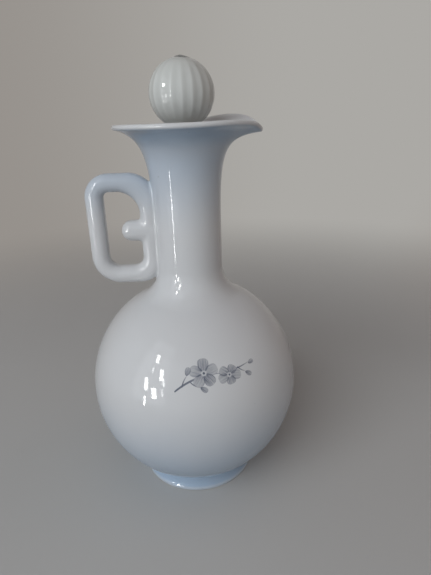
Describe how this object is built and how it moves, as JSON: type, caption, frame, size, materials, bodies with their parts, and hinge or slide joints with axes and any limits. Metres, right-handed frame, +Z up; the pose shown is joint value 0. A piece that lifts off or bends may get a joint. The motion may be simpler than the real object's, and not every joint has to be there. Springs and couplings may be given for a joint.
{
  "type": "stoppered pouring bottle",
  "caption": "Glazed porcelain bottle with a round belly, straight neck, spouted mouth, ring handle and a fluted ball stopper that lifts out.",
  "frame": {"origin": "Centre of the foot ring, on the surface the bottle stands on.", "axes": "+Z is up along the bottle's axis, +X points to the spout, -X to the handle, and +Y away from a viewer who has the handle on the left."},
  "size_m": [0.092, 0.092, 0.18],
  "materials": {
    "bottle_glaze": "gloss white glaze with a faint blue tint",
    "handle_glaze": "gloss white glaze with a faint blue tint",
    "knob_glaze": "gloss white glaze",
    "cork": "natural cork, matt"
  },
  "bodies": {
    "bottle": {"bottle": "bottle_glaze", "handle": "handle_glaze"},
    "stopper": {"stopper_knob": "knob_glaze", "stopper_cork": "cork"}
  },
  "joints": [
    {"name": "stopper_lift", "type": "slide", "parent": "bottle", "child": "stopper", "axis": [0, 0, 1], "range_m": [0, 0.05]}
  ]
}
